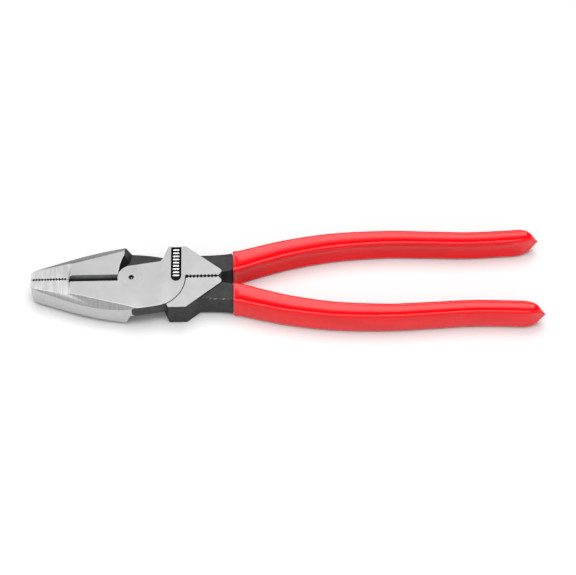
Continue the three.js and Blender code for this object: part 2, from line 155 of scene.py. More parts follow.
def ramp_node(tree, value, low, high, to_low=0.0, to_high=1.0):
    """value from low..high, carried smoothly to to_low..to_high."""
    inputs = {"Value": value, "From Min": low, "From Max": high, "To Min": to_low, "To Max": to_high}
    return add_node(tree, "ShaderNodeMapRange", inputs, interpolation_type="SMOOTHSTEP").outputs[0]


def noise_node(tree, place, per_mm, detail=2.0):
    """Noise with that many cells per millimetre along X, Y and Z."""
    scale = [cells / MM for cells in per_mm]
    mapped = add_node(tree, "ShaderNodeMapping", {"Vector": place, "Scale": scale})
    inputs = {"Vector": mapped.outputs[0], "Scale": 1.0, "Detail": detail}
    return add_node(tree, "ShaderNodeTexNoise", inputs).outputs[0]


def mix_colour(tree, share, first, second):
    """The colour between first and second."""
    inputs = {"Factor": share, 6: first, 7: second}
    return add_node(tree, "ShaderNodeMix", inputs, data_type="RGBA").outputs[2]


def new_material(name):
    """A material with an empty tree: its tree, its shader, and the piece's own coordinates."""
    material = bpy.data.materials.new(name)
    material.use_nodes = True
    tree = material.node_tree
    shader = tree.nodes["Principled BSDF"]
    place = tree.nodes.new("ShaderNodeTexCoord").outputs["Object"]
    return material, tree, shader, place


def dress(tree, shader, colour, roughness, height, strength, depth):
    """Connects colour and roughness, and a bump that follows height. depth is in mm."""
    bump = add_node(tree, "ShaderNodeBump", {"Height": height, "Strength": strength, "Distance": depth * MM})
    for label, socket in (("Base Color", colour), ("Roughness", roughness), ("Normal", bump.outputs[0])):
        tree.links.new(socket, shader.inputs[label])


def grey(value, tint=(1.0, 1.0, 1.0)):
    """A colour of that brightness."""
    return (value * tint[0], value * tint[1], value * tint[2], 1.0)


print("mid grey:", grey(0.5))

# %% [markdown]
# ## Ground steel
# The flat faces of the head are ground on a belt and then tumbled: a fine, even, matt grain. The jaw
# tips are ground again across the tool, which leaves long streaks along Y, and the long bevels of the
# jaws are ground the same way but coarser and darker. One recipe makes all of them. Noise that is
# stretched along Y gives the streaks, and it drives colour, roughness and a very small bump together,
# because on real metal a deeper scratch is also a darker and rougher one.


# %% Ground steel recipe
def ground_steel(name, tone, roughness, cells, depth, contrast):
    """cells is the grain per mm along X, Y, Z, depth its bump in mm, contrast its share of the tone."""
    material, tree, shader, place = new_material(name)
    grain = noise_node(tree, place, cells, detail=4.0)
    cloud = noise_node(tree, place, (0.11, 0.11, 0.11))
    both = math_node(tree, "ADD", math_node(tree, "MULTIPLY", grain, 0.75),
                     math_node(tree, "MULTIPLY", cloud, 0.25))
    share = ramp_node(tree, both, 0.3, 0.7)
    dark = grey(tone * (1 - contrast))
    light = grey(min(1.0, tone * (1 + contrast)))
    rough = ramp_node(tree, both, 0.3, 0.7, roughness + 0.06, roughness - 0.06)
    shader.inputs["Metallic"].default_value = 1.0
    dress(tree, shader, mix_colour(tree, share, dark, light), rough, grain, 0.35, depth)
    return material


lapped_steel = ground_steel("lapped_steel", tone=0.333, roughness=0.55, cells=(5.0, 5.0, 5.0),
                            depth=0.010, contrast=0.07)
tip_steel = ground_steel("tip_steel", tone=0.36, roughness=0.48, cells=(2.6, 0.10, 0.4),
                         depth=0.012, contrast=0.12)
bevel_steel = ground_steel("bevel_steel", tone=0.36, roughness=0.44, cells=(3.2, 0.09, 0.09),
                           depth=0.016, contrast=0.16)
edge_steel = ground_steel("edge_steel", tone=0.42, roughness=0.34, cells=(3.0, 3.0, 3.0),
                          depth=0.006, contrast=0.10)
print("ground steel finishes:", [m.name for m in (lapped_steel, tip_steel, bevel_steel, edge_steel)])

# %% [markdown]
# ## Black oxide
# The parts of the forging that aren't ground keep a black, slightly oily oxide over the rough forged
# skin. It isn't really black: it is a dark grey with a soft sheen, and its surface has shallow pits and
# swells left by the scale. Two noises of different size give pits and swells. It isn't metallic to the
# eye, so Metallic stays at 0 and only a weak gloss is left. The same recipe, near black, is painted
# shade on the rims of the narrow gaps and in the rivet's punch mark, and the dark floor of the recessed
# panel; lighter, it is the milled steel of the teeth and the sliding faces.

# %% Black oxide
BLACK_TONE = 0.0175
OXIDE_BUMP = 0.12


def oxide_nodes(tree, place, tone=BLACK_TONE):
    """Colour, roughness and height of the oxide."""
    swell = noise_node(tree, place, (0.25, 0.25, 0.25), detail=3.0)
    pits = noise_node(tree, place, (2.2, 2.2, 2.2), detail=4.0)
    both = math_node(tree, "ADD", math_node(tree, "MULTIPLY", swell, 0.5),
                     math_node(tree, "MULTIPLY", pits, 0.5))
    share = ramp_node(tree, both, 0.33, 0.67)
    tint = (0.98, 1.0, 1.0)
    colour = mix_colour(tree, share, grey(tone * 0.72, tint), grey(tone * 1.28, tint))
    rough = ramp_node(tree, both, 0.3, 0.7, 0.62, 0.48)
    return colour, rough, both


def oxide_steel(name, tone, sheen):
    """Oxide of that tone. sheen is the strength of its reflection."""
    material, tree, shader, place = new_material(name)
    colour, rough, height = oxide_nodes(tree, place, tone)
    shader.inputs["Specular IOR Level"].default_value = sheen
    dress(tree, shader, colour, rough, height, 0.35, OXIDE_BUMP)
    return material


black_oxide = oxide_steel("black_oxide", BLACK_TONE, sheen=0.32)
# Near black: painted shade on the rims of the narrow gaps and in the punch mark, and the dark floor of the
# panel.
gap_shade_and_panel_black = oxide_steel("gap_shade_and_panel_black", 0.004, sheen=0.06)
milled_steel = oxide_steel("milled_steel", 0.05, sheen=0.4)
print("oxide tone:", BLACK_TONE)

# %% [markdown]
# ## Slot walls with painted shade
# The cutting edges meet at mid thickness, deep in the slot between the jaws, and they are hardened by
# heat. The walls beside them get painted shade that deepens towards mid thickness, deep in the slot,
# and fades to plain grey towards the outer faces. Vertex colours could paint that, but the shade only
# depends on the height. So the Z coordinate is enough: its distance from mid thickness, through a smooth
# ramp, mixes the painted shade with the oxide recipe.


# %% Slot walls beside the cutting edges, with painted shade
def shaded_slot_steel(name, tone, dark_tone, dark_reach, light_reach):
    """Grey walls, darkened by painted shade up to dark_reach from mid thickness and clear past light_reach,
    in mm.
    """
    material, tree, shader, place = new_material(name)
    colour, rough, height = oxide_nodes(tree, place, tone)
    off_middle = math_node(tree, "SUBTRACT", place_in_mm(tree, place)[2], MID)
    share = ramp_node(tree, math_node(tree, "ABSOLUTE", off_middle), dark_reach, light_reach)
    shader.inputs["Specular IOR Level"].default_value = 0.3
    # Painted shade: dark_tone deep in the slot, near mid thickness, where shade falls between the jaws.
    shaded = mix_colour(tree, share, grey(dark_tone), colour)
    dress(tree, shader, shaded, rough, height, 0.35, OXIDE_BUMP)
    return material


# How far the painted shade reaches from mid thickness, and where it is gone, in mm.
SHADE_REACH, CLEAR_REACH = 3.0, 5.2
slot_oxide_and_shade = shaded_slot_steel("slot_oxide_and_shade", 0.30, 0.045, SHADE_REACH, CLEAR_REACH)
print("walls are stained up to, mm from mid thickness:", SHADE_REACH)

# %% [markdown]
# ## Worn edges
# The oxide is thin, and a long edge loses it first: it rubs through to bare steel in short ragged
# patches. A noise through a steep ramp gives patches with a crisp border. Inside a patch the steel is
# brighter, smoother and more metallic, so the same share moves all three.


# %% Worn edges of the oxide
def worn_steel(name, tone, bare_tone):
    """Oxide that is rubbed through to bare steel in ragged patches."""
    material, tree, shader, place = new_material(name)
    colour, rough, height = oxide_nodes(tree, place, tone)
    patches = noise_node(tree, place, (0.55, 0.9, 0.9), detail=5.0)
    bare = ramp_node(tree, patches, 0.50, 0.60)
    smoother = math_node(tree, "SUBTRACT", rough, math_node(tree, "MULTIPLY", bare, 0.12))
    tree.links.new(math_node(tree, "MULTIPLY", bare, 0.7), shader.inputs["Metallic"])
    dress(tree, shader, mix_colour(tree, bare, colour, grey(bare_tone)), smoother, height, 0.35, 0.08)
    return material


worn_oxide = worn_steel("worn_oxide", tone=0.03, bare_tone=0.22)
print("worn edges, nodes:", len(worn_oxide.node_tree.nodes))

# %% [markdown]
# ## The side of the jaw
# The outer side of each jaw is ground bright and runs on, with no edge, into the side of the lap plate,
# which stays black. The border is only a change of finish, with a rounded end where the wheel lifted
# off. The face could be cut in two along the border, but a cut shows as an edge. So one material holds
# both finishes, and a rounded box in X and Z says where the black starts. Colour, roughness and Metallic
# all change with it.
# The bright part is given a lighter tone than the same ground steel on the flat faces: painted light on the
# upright side.

# %% Side finish
OXIDE_START_X = 0.3
OXIDE_CORNER = 2.0
OXIDE_LOW_Z = 7.3
OXIDE_HIGH_Z = 14.2


def side_steel(name, sign):
    """sign is 1 for the upper half, and -1 for the half that is turned over."""
    material, tree, shader, place = new_material(name)
    x, _, z = place_in_mm(tree, place)
    if sign < 0:
        z = math_node(tree, "SUBTRACT", THICKNESS, z)
    middle = (OXIDE_LOW_Z + OXIDE_HIGH_Z) / 2
    half = (OXIDE_HIGH_Z - OXIDE_LOW_Z) / 2 - OXIDE_CORNER
    over_x = math_node(tree, "MAXIMUM", math_node(tree, "SUBTRACT", OXIDE_START_X + OXIDE_CORNER, x), 0.0)
    off_middle = math_node(tree, "ABSOLUTE", math_node(tree, "SUBTRACT", z, middle))
    over_z = math_node(tree, "MAXIMUM", math_node(tree, "SUBTRACT", off_middle, half), 0.0)
    squares = math_node(tree, "ADD", math_node(tree, "MULTIPLY", over_x, over_x),
                        math_node(tree, "MULTIPLY", over_z, over_z))
    reach = math_node(tree, "SQRT", squares)
    black = ramp_node(tree, reach, OXIDE_CORNER + 0.12, OXIDE_CORNER - 0.12)
    grain = noise_node(tree, place, (0.5, 0.5, 4.0), detail=4.0)
    share = ramp_node(tree, grain, 0.3, 0.7)
    # Painted light: the bright side is lighter than the ground steel of the flat faces.
    bright = mix_colour(tree, share, grey(0.52), grey(0.58))
    colour, rough, _ = oxide_nodes(tree, place)
    bright_rough = ramp_node(tree, grain, 0.3, 0.7, 0.50, 0.38)
    rough_mix = add_node(tree, "ShaderNodeMix", {"Factor": black, 2: bright_rough, 3: rough})
    tree.links.new(math_node(tree, "SUBTRACT", 1.0, black), shader.inputs["Metallic"])
    dress(tree, shader, mix_colour(tree, black, bright, colour), rough_mix.outputs[0], grain, 0.3, 0.01)
    return material


print("black starts at x, mm:", OXIDE_START_X)

# %% [markdown]
# ## Handle centre line
# Each dipped grip follows the bent handle inside it. Its centre line leaves the tang, spreads to the
# widest place in the middle, comes in at a waist near the end and flares again. A Bezier curve object
# could carry it, but the steel inside the grip needs the same numbers. So a smooth curve through eleven
# known points is worked out in plain Python. The two handles are mirror images, so one line is enough.

# %% Centre line
HANDLE_RUN = HANDLE_REACH - GRIP_START_X
CENTRE_POINTS = [(27.0, 6.6), (38.25, 7.025), (GRIP_START_X, 8.3)]
for share, offset in ((0.09, 12.124), (0.19, 15.8285), (0.33, 19.055), (0.5, 20.25), (0.64, 19.575),
                      (0.77, 18.9), (0.9, 19.525), (1.0, 20.15)):
    CENTRE_POINTS.append((GRIP_START_X + share * HANDLE_RUN, offset))


def between(a, b, c, d, t):
    """A number between b and c, on the smooth curve through a, b, c, d."""
    first, last = (c - a) / 2, (d - b) / 2
    cube = (2 * b - 2 * c + first + last) * t**3
    return cube + (-3 * b + 3 * c - 2 * first - last) * t**2 + first * t + b


def centre_samples(steps=60):
    """Many points on the centre line, in mm, from the tang to the end."""
    points = CENTRE_POINTS
    found = []
    for k in range(len(points) - 1):
        group = [points[max(0, k - 1)], points[k], points[k + 1], points[min(len(points) - 1, k + 2)]]
        for step in range(steps):
            t = step / steps
            found.append((between(*[p[0] for p in group], t), between(*[p[1] for p in group], t)))
    return [*found, points[-1]]


CENTRE = centre_samples()


def centre_at(x):
    """(distance from the plane y = 0, slope) of the centre line at x, in mm."""
    for (x0, y0), (x1, y1) in zip(CENTRE, CENTRE[1:]):
        if x <= x1 or (x1, y1) == CENTRE[-1]:
            slope = (y1 - y0) / (x1 - x0)
            return y0 + slope * (x - x0), slope


print("handle offset at its middle, mm:", round(centre_at(120)[0], 2))

# %% [markdown]
# ## The forged halves
# The CAD halves have the right shape but razor-sharp edges, and a real edge always catches a thin line
# of light. A Bevel modifier would treat all edges alike. Here a copy of the CAD mesh is merged, its flat
# triangles are dissolved into whole faces, and bmesh bevels only the long edges, each kind with its own
# width and finish: bright steel beside a ground face, the same streaks beside a jaw bevel, worn oxide
# between black faces, and near black round the narrow gaps, which is painted shade. The finish of every
# other face follows from where it lies and which way it looks, as on the real tool, where the wheel only
# reaches the outermost faces.

# %% Which finish a face has
LAPPED, TIP, BEVEL, SIDE, BLACK, EDGE, GAP, SLOT, WORN, RIM = range(10)
GROUND_FINISHES = (LAPPED, TIP, BEVEL, SIDE)
LAP_ARC_X, LAP_ARC_RADIUS, SLIDE_GAP = 8.9, 16.3, 0.3
BEVEL_END_X, SIDE_END_X, JAW_FRONT_X = 4.0, 17.0, -46.0
MOUTH_REACH, PULL_GAP_REACH = 0.9, 1.1
PULL_GAP_X, PANEL_SPAN_X = (25.0, 42.5), (18.0, 24.0)
SLOT_END_X, SLOT_WALL_Y = -6.0, -1.7


def off_lap_arc(point):
    """How far a point lies from the middle of the round gap behind the lap, in mm."""
    return abs(math.hypot(point.x - LAP_ARC_X, point.y) - LAP_ARC_RADIUS - SLIDE_GAP / 2)


def finish_of(middle, normal, sign):
    """The finish of a face of a half, from its middle in mm and its normal."""
    if sign < 0:
        middle, normal = turned_over(middle), turned_over(normal, 0.0)
    level = abs(normal.z) > 0.9
    upright = abs(normal.z) < 0.5
    outermost = min(middle.z, THICKNESS - middle.z)
    if abs(normal.z) > 0.7 and middle.x < TIP_ZONE_X + 2 and 0.1 < outermost < 1.6:
        return TIP
    if level and outermost < 0.1:
        return LAPPED
    if middle.x < BEVEL_END_X and middle.y < -2 and 0.5 < abs(normal.z) < 0.95 and normal.y < -0.3:
        return BEVEL
    jaw_side = normal.y < -0.7 and middle.y < -3.0 and middle.x < SIDE_END_X and abs(normal.z) < 0.3
    jaw_front = normal.x < -0.7 and middle.x < JAW_FRONT_X
    if jaw_side or jaw_front:
        return SIDE
    in_mouth = middle.x < TIP_ZONE_X and abs(middle.y) < MOUTH_REACH
    in_pull_gap = PULL_GAP_X[0] < middle.x < PULL_GAP_X[1] and abs(middle.y) < PULL_GAP_REACH
    in_lap_gap = middle.x > 5 and off_lap_arc(middle) < 0.4
    if upright and (in_mouth or in_pull_gap or in_lap_gap):
        return GAP
    # The floor of the recessed panel takes the near-black finish of the gap rims.
    on_panel = PANEL_SPAN_X[0] < middle.x < PANEL_SPAN_X[1]
    if level and abs(middle.z - (THICKNESS - PANEL_DEPTH)) < 0.1 and on_panel:
        return RIM
    beside_edge = TIP_ZONE_X < middle.x < SLOT_END_X and abs(middle.y - SLOT_WALL_Y) < 0.1
    if abs(normal.z) < 0.3 and beside_edge:
        return SLOT
    return BLACK


print("finishes:", RIM + 1)

# %% Long edges that get a bevel
SHARP_ANGLE = math.radians(24)
SHORTEST_EDGE = 0.55
BORE_RADIUS = 5.0
GAP_BEVEL, BRIGHT_BEVEL, BLACK_BEVEL = 0.07, 0.14, 0.20


def is_sharp(edge):
    """True where two faces meet at more than SHARP_ANGLE."""
    return len(edge.link_faces) == 2 and edge.calc_face_angle() > SHARP_ANGLE


def is_roomy(vertex):
    """True if every sharp edge at this corner is long enough for the bevel."""
    return all(e.calc_length() > SHORTEST_EDGE * MM for e in vertex.link_edges if is_sharp(e))


def bevel_edges(work, edges, width, finish):
    """Bevels those edges by width, in mm. finish is the material number of the new faces."""
    if edges:
        bmesh.ops.bevel(work, geom=edges, offset=width * MM, offset_type="OFFSET", segments=2,
                        profile=0.5, affect="EDGES", clamp_overlap=False, loop_slide=True,
                        material=finish)


def borders(edge, *finishes):
    """True if a face beside the edge has one of those finishes."""
    return any(f.material_index in finishes for f in edge.link_faces)


def rims_a_gap(edge):
    """True for the rim of the round gap behind the lap, of the teeth, or of the pulling gap."""
    return {f.material_index for f in edge.link_faces} in ({LAPPED, GAP}, {TIP, GAP})


def rims_the_bore(edge):
    """True for the edges of the hole that the rivet fills."""
    return all(abs(math.hypot(v.co.x, v.co.y) / MM - BORE_RADIUS) < 0.05 for v in edge.verts)


def bevel_finish(edge):
    """The finish of the bevel that an edge gets."""
    if not borders(edge, *GROUND_FINISHES):
        return WORN
    return BEVEL if borders(edge, BEVEL) else EDGE


print("shortest edge that is bevelled, mm:", SHORTEST_EDGE)

# %% [markdown]
# ## The steel inside the grips
# The forged handle runs on inside the dipped coating. The coating made later has a deeper hollow on its
# inner side than the plain CAD grip. The steel could end at the mouth, but then the grip would be an
# empty sleeve. So it is kept, and only made slimmer, which keeps it out of sight.


# %% Slimmer core
def smooth(value, low, high):
    """0 below low, 1 above high, and smooth between."""
    t = min(1.0, max(0.0, (value - low) / (high - low)))
    return t * t * (3 - 2 * t)


CORE_WIDTH_SHARE = 0.55
CORE_SHIFT = 0.9
CORE_LOWERED = 0.05
SLIMMING_RUN = 6.0


def slim_the_core(work, sign):
    """Draws the steel inside the grip towards the grip's outer side."""
    for vertex in work.verts:
        x = vertex.co.x / MM
        inside = smooth(x, GRIP_START_X, GRIP_START_X + SLIMMING_RUN)
        if inside > 0:
            offset = centre_at(x)[0]
            across = sign * vertex.co.y / MM - offset
            slim = CORE_WIDTH_SHARE * across + CORE_SHIFT
            vertex.co.y = sign * (offset + across + (slim - across) * inside) * MM
            rise = vertex.co.z / MM - MID
            vertex.co.z = (MID + rise * (1 - CORE_LOWERED * inside)) * MM


print("width of the steel inside the grips, share:", CORE_WIDTH_SHARE)


# %% Make a half
def forged_half(node, name, side_finish):
    """A copy of the CAD half, with bevelled edges and a finish for each face."""
    sign = side_of(node)
    work = bmesh.new()
    work.from_mesh(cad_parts[node].data)
    bmesh.ops.remove_doubles(work, verts=work.verts, dist=0.002 * MM)
    bmesh.ops.dissolve_limit(work, angle_limit=math.radians(0.8), verts=work.verts, edges=work.edges)
    for face in work.faces:
        face.material_index = finish_of(face.calc_center_median() / MM, face.normal, sign)
    before = work.calc_volume()
    # The rims of the narrow gaps get the near-black finish: painted shade.
    bevel_edges(work, [e for e in work.edges if rims_a_gap(e)], GAP_BEVEL, RIM)
    for finish, width in ((EDGE, BRIGHT_BEVEL), (BEVEL, BRIGHT_BEVEL), (WORN, BLACK_BEVEL)):
        chosen = [e for e in work.edges if is_sharp(e) and bevel_finish(e) == finish
                  and not rims_the_bore(e) and all(is_roomy(v) for v in e.verts)
                  and not borders(e, EDGE, GAP, RIM)]
        bevel_edges(work, chosen, width, finish)
    slim_the_core(work, sign)
    open_edges = sum(not e.is_manifold for e in work.edges)
    share = work.calc_volume() / before
    mesh = mesh_from(work, name)
    for material in (lapped_steel, tip_steel, bevel_steel, side_finish, black_oxide, edge_steel,
                     milled_steel, slot_oxide_and_shade, worn_oxide, gap_shade_and_panel_black):
        mesh.materials.append(material)
    mesh.shade_smooth()
    mesh.set_sharp_from_angle(angle=math.radians(28))
    half = in_scene(name, mesh)
    half.modifiers.new("even_normals", "WEIGHTED_NORMAL").keep_sharp = True
    print(name, "faces", len(mesh.polygons), "open edges", open_edges, "volume share", round(share, 4))
    return half


upper_steel = forged_half("upper_half", "upper_steel", side_steel("side_steel_upper", 1))
lower_steel = forged_half("lower_half", "lower_steel", side_steel("side_steel_lower", -1))

# %% [markdown]
# ## Section of a grip
# Cut across, a dipped grip isn't a plain rounded bar. Its top and bottom are shallow troughs between two
# raised edges, and its inner side, where the fingers curl, has a wide hollow. Those edges are what
# catches the light as one long thin line. A ring that is only scaled would squash its corners, so the
# section is drawn as points that carry more than a place: the corner that each belongs to, a small
# offset from that corner, and a share of the trough and of the hollow. So the ring can be stretched to
# any width and height and keep its corner radius. The outer side is slightly crowned: its two edges are
# drawn in by a share of the same depth.

# %% Section points
CORNER_STEPS = 7
FLAT_STEPS = 14
CROWN = 0.28
TROUGH_POWER, HOLLOW_POWER = 3.2, 2.2


def section_points():
    """(corner across, corner up, offset across, offset up, trough, hollow) of each point of the ring."""
    ring = []
    corners = [(1, 1), (-1, 1), (-1, -1), (1, -1)]
    for k, (across, up) in enumerate(corners):
        for step in range(CORNER_STEPS + 1):
            angle = math.radians(90 * k + 90 * step / CORNER_STEPS)
            drawn_in = -CROWN if across > 0 else 0.0
            ring.append((across, up, math.cos(angle), math.sin(angle), 0.0, drawn_in))
        next_across, next_up = corners[(k + 1) % 4]
        for step in range(1, FLAT_STEPS):
            t = step / FLAT_STEPS
            a, u = across + (next_across - across) * t, up + (next_up - up) * t
            dish = 1 - abs(2 * t - 1) ** (TROUGH_POWER if k in (0, 2) else HOLLOW_POWER)
            if k in (0, 2):
                ring.append((a, up, 0.0, up, dish * up, -CROWN * (1 + a) / 2))
            else:
                side_share = dish if across < 0 else -CROWN * (2 * t - 1) ** 2
                ring.append((across, u, across, 0.0, 0.0, side_share))
    return ring


SECTION = section_points()
print("points round a grip:", len(SECTION))

# %% [markdown]
# ## Stations along a grip
# The skin is one path: it starts deep inside the pocket that holds the steel core, comes forward to the
# mouth, rolls over the lip, and runs back along the outside to the rounded nose and the pointed drip
# that is left when the tool is hung up to dry. Made as one closed skin, it needs no separate inner wall,
# lip and cap to be joined. Each station has a half width, a half height, how much of the corner radius
# is left, and how much of the trough and the hollow there is.

# %% Station sizes
FRONT_WIDTH, MIDDLE_WIDTH, END_WIDTH = 11.2, 8.18, 7.4
GRIP_HALF_HEIGHT = 6.85
EDGE_RADIUS, TROUGH_DEPTH, HOLLOW_DEPTH = 1.25, 0.60, 1.4
LIP = 0.45
MOUTH_WALL, MOUTH_TOP_WALL = 0.8, 0.6
NOSE_X = 181.4
NOSE_TAPER = [(NOSE_X, 1.0, 1.0), (183.2, 0.96, 1.0), (185.0, 0.895, 0.995), (186.5, 0.80, 0.98),
              (187.5, 0.71, 0.955), (188.5, 0.61, 0.89), (189.5, 0.50, 0.78), (190.4, 0.39, 0.61),
              (191.4, 0.28, 0.38), (192.3, 0.16, 0.165), (192.75, 0.09, 0.07),
              (HANDLE_REACH, 0.04, 0.022)]
POCKET_END_X = 184.9
POCKET_WALL, POCKET_TOP_WALL = 0.95, 1.25
POCKET_STEPS, LIP_STEPS, BODY_STEPS, NOSE_STEPS = 40, 5, 80, 40
FADE_IN, TROUGH_FADE_X, ROUNDING_X = 3.5, (184.0, 190.5), (187.5, 191.5)


def half_width_at(x):
    """Half the width of the skin at x, without the nose: it narrows to the middle, then to the end."""
    share = max(0.0, (x - GRIP_START_X) / HANDLE_RUN)
    if share < 0.5:
        return (FRONT_WIDTH + (MIDDLE_WIDTH - FRONT_WIDTH) * (share / 0.5) ** 0.6) / 2
    return (MIDDLE_WIDTH + (END_WIDTH - MIDDLE_WIDTH) * (share - 0.5) / 0.5) / 2


print("grip width in the middle, mm:", round(2 * half_width_at(GRIP_START_X + HANDLE_RUN / 2), 2))


# %% Nose and drip
def nose_share(x, column):
    """How much of the full width (column 1) or height (column 2) is left at x, in the pointed end."""
    for k, row in enumerate(NOSE_TAPER[:-1]):
        following = NOSE_TAPER[k + 1]
        if x <= following[0]:
            before = NOSE_TAPER[max(0, k - 1)]
            after = NOSE_TAPER[min(len(NOSE_TAPER) - 1, k + 2)]
            t = (x - row[0]) / (following[0] - row[0])
            return between(before[column], row[column], following[column], after[column], t)
    return NOSE_TAPER[-1][column]


def outside_at(x):
    """(half width, half height) of the skin at x, with the nose and its pointed drip."""
    if x <= NOSE_X:
        return half_width_at(x), GRIP_HALF_HEIGHT
    return half_width_at(x) * nose_share(x, 1), GRIP_HALF_HEIGHT * nose_share(x, 2)


print("half sizes at the end of the drip, mm:", [round(v, 2) for v in outside_at(HANDLE_REACH)])


# %% Rows of the path
def station(x, wide, high, trough, hollow):
    """One row of the path. The corner radius grows in the nose, until the section is round."""
    corner = min(EDGE_RADIUS, 0.98 * wide, 0.98 * high)
    if x > NOSE_X:
        corner += (0.98 * min(wide, high) - corner) * smooth(x, *ROUNDING_X)
    return (x, wide, high, corner, trough, hollow)


def shown_from_mouth(x):
    """How much of the trough and the hollow there is behind the mouth, where they fade in."""
    return smooth(x, GRIP_START_X, GRIP_START_X + FADE_IN)


def shown_hollow(x):
    """How much of the hollow is left towards the end."""
    return 1 - smooth(x, NOSE_X - 2.5, NOSE_X + 4.5)


def grip_stations():
    """Every station, from deep in the pocket, round the lip of the mouth, and out to the drip."""
    rows = []
    for k in range(POCKET_STEPS + 1):
        x = POCKET_END_X + (GRIP_START_X + 2.5 - POCKET_END_X) * k / POCKET_STEPS
        wide, high = outside_at(x)
        pressed = shown_from_mouth(x) * (1 - smooth(x, NOSE_X - 2.5, NOSE_X + 3.5))
        rows.append(station(x, wide - POCKET_WALL, high - POCKET_TOP_WALL, 0.0, pressed))
    mouth_wide, mouth_high = half_width_at(GRIP_START_X) - MOUTH_WALL, GRIP_HALF_HEIGHT - MOUTH_TOP_WALL
    for x in (GRIP_START_X + 2 * LIP, GRIP_START_X):
        rows.append(station(x, mouth_wide, mouth_high, 0.0, 0.0))
    for k in range(LIP_STEPS + 1):
        angle = math.radians(90 * k / LIP_STEPS)
        x = GRIP_START_X + LIP * (1 - math.cos(angle))
        inset = LIP * (1 - math.sin(angle))
        wide, high = outside_at(x)
        rows.append(station(x, wide - inset, high - inset, 0.0, 0.0))
    body_start = GRIP_START_X + LIP
    for k in range(1, BODY_STEPS + 1):
        x = body_start + (NOSE_X - body_start) * (k / BODY_STEPS) ** 1.15
        shown = shown_from_mouth(x)
        rows.append(station(x, *outside_at(x), shown, shown * shown_hollow(x)))
    for k in range(1, NOSE_STEPS + 1):
        x = NOSE_X + (HANDLE_REACH - NOSE_X) * k / NOSE_STEPS
        rows.append(station(x, *outside_at(x), 1 - smooth(x, *TROUGH_FADE_X), shown_hollow(x)))
    return rows


STATIONS = grip_stations()
print("stations:", len(STATIONS), "nose length, mm:", round(HANDLE_REACH - NOSE_X, 1))

# %% [markdown]
# ## The sweep, in Geometry Nodes
# A grip follows a rule, a section carried along a path, so Geometry Nodes make it. `Curve to Mesh` joins
# the path and the ring into a tube. It can only scale the ring evenly, so the tree then places every
# point itself. Path and ring carry their numbers as named attributes, and the tube keeps both sets: with
# them, one sum gives the place across the handle and another the place up. The sizes that a maker would
# change, the corner radius, the trough and the hollow, are named inputs of the tree.

# %% Helpers for Geometry Nodes
PATH_NUMBERS = ("half_wide", "half_high", "corner_left", "trough_left", "hollow_left")
RING_NUMBERS = ("corner_across", "corner_up", "offset_across", "offset_up", "trough_share", "hollow_share")
NAMED_NUMBERS = {*PATH_NUMBERS, *RING_NUMBERS, "centre", "side"}


def read_number(tree, name, kind="FLOAT"):
    """A named attribute of the geometry, as a socket."""
    return add_node(tree, "GeometryNodeInputNamedAttribute", {"Name": name}, data_type=kind).outputs[0]


def new_node_group(name, inputs):
    """A Geometry Nodes tree with a geometry input and the given inputs, {name: (kind, value)}."""
    tree = bpy.data.node_groups.new(name, "GeometryNodeTree")
    tree.interface.new_socket("Geometry", in_out="INPUT", socket_type="NodeSocketGeometry")
    for label, (kind, value) in inputs.items():
        socket = tree.interface.new_socket(label, in_out="INPUT", socket_type=kind)
        if value is not None:
            socket.default_value = value
    tree.interface.new_socket("Geometry", in_out="OUTPUT", socket_type="NodeSocketGeometry")
    return tree, tree.nodes.new("NodeGroupInput").outputs


def end_tree(tree, geometry, material):
    """Realize Instances, Set Material and the output."""
    real = add_node(tree, "GeometryNodeRealizeInstances", {0: geometry})
    painted = add_node(tree, "GeometryNodeSetMaterial", {"Geometry": real.outputs[0], "Material": material})
    add_node(tree, "NodeGroupOutput", {0: painted.outputs[0]})


def set_inputs(modifier, values):
    """Sets a Geometry Nodes modifier's inputs by their identifiers."""
    for item in modifier.node_group.interface.items_tree:
        if item.item_type == "SOCKET" and item.in_out == "INPUT" and item.name in values:
            modifier[item.identifier] = values[item.name]


print("numbers that a grip's points carry:", len(NAMED_NUMBERS))


